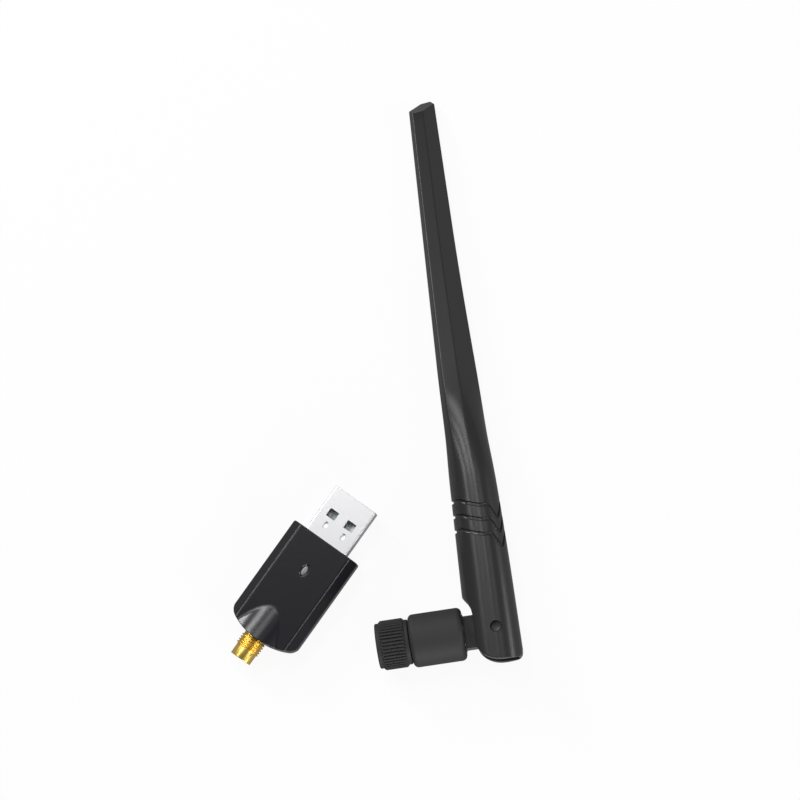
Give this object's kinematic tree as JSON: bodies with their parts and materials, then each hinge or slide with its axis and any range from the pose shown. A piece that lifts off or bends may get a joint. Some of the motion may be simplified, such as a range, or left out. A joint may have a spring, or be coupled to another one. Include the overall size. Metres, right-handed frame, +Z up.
{
  "type": "usb wifi adapter",
  "caption": "Stick-shaped computer radio adapter with a flat plug and a threaded antenna jack, and its detached antenna with a spinning nut, swivel sleeve and folding mast.",
  "frame": {"origin": "middle of the adapter's underside, on the table that both items lie on", "axes": "+Z up from the table, +Y roughly along the folded-up mast towards its tip, +X to the right as seen from above; the adapter's plug points 35.6 degrees clockwise of +Y and the mast 8.2 degrees anticlockwise of it"},
  "size_m": [0.0715, 0.1411, 0.0133],
  "materials": {
    "gloss_black": "gloss black moulded shell",
    "mast_black": "satin black moulded mast",
    "textured_black": "fine textured black",
    "knurled_black": "ribbed satin black",
    "pin_black": "blackened steel",
    "plug_steel": "bright tin-plated steel",
    "gold_plate": "gold-plated brass",
    "spring_steel": "plain spring steel",
    "can_tin": "tinned sheet",
    "white_insulator": "natural white insulator",
    "tongue_plastic": "pale plug tongue",
    "board_green": "green solder resist",
    "chip_black": "moulded chip body",
    "ceramic_tan": "ceramic chip parts with tinned ends",
    "lamp_white": "clear lamp body",
    "lens_grey": "smoked light pipe",
    "copper": "etched copper",
    "lead_jacket": "black lead jacket"
  },
  "bodies": {
    "adapter": {"upper_shell": "gloss_black", "lower_shell": "gloss_black", "light_pipe": "lens_grey", "signal_lamp": "lamp_white", "circuit_board": "board_green", "radio_chip": "chip_black", "shield_can": "can_tin", "crystal": "can_tin", "small_components": "ceramic_tan", "plug_shell": "plug_steel", "plug_insulator": "tongue_plastic", "plug_contacts": "spring_steel", "jack_body": "gold_plate", "jack_insulator": "white_insulator", "jack_contact": "gold_plate"},
    "connector": {"connector_body": "gold_plate", "connector_insulator": "white_insulator", "connector_contact": "gold_plate", "retaining_ring": "spring_steel"},
    "nut": {"nut_cover": "knurled_black", "coupling_nut": "gold_plate"},
    "swivel": {"swivel_sleeve": "textured_black", "hinge_knuckle": "textured_black", "coax_lead": "lead_jacket"},
    "mast": {"mast_foot": "mast_black", "mast_blade": "mast_black", "hinge_pin": "pin_black", "radiator_board": "board_green", "radiator_traces": "copper"}
  },
  "joints": [
    {"name": "antenna_lift", "type": "slide", "parent": "adapter", "child": "connector", "axis": [0, 0, 1], "range_m": [0, 0.06]},
    {"name": "nut_spin", "type": "hinge", "parent": "connector", "child": "nut", "pos_m": [0.02496, -0.01325, 0.0065], "axis": [0.9898, 0.1426, 0], "continuous": true},
    {"name": "swivel_turn", "type": "hinge", "parent": "connector", "child": "swivel", "pos_m": [0.0503, -0.0096, 0.0065], "axis": [0.9898, 0.1426, 0], "range_deg": [-180, 180]},
    {"name": "mast_fold", "type": "hinge", "parent": "swivel", "child": "mast", "pos_m": [0.0503, -0.0096, 0.0065], "axis": [-0.0032, 0.022, 0.9998], "range_deg": [-90, 0], "deforming": ["coax_lead"]}
  ]
}
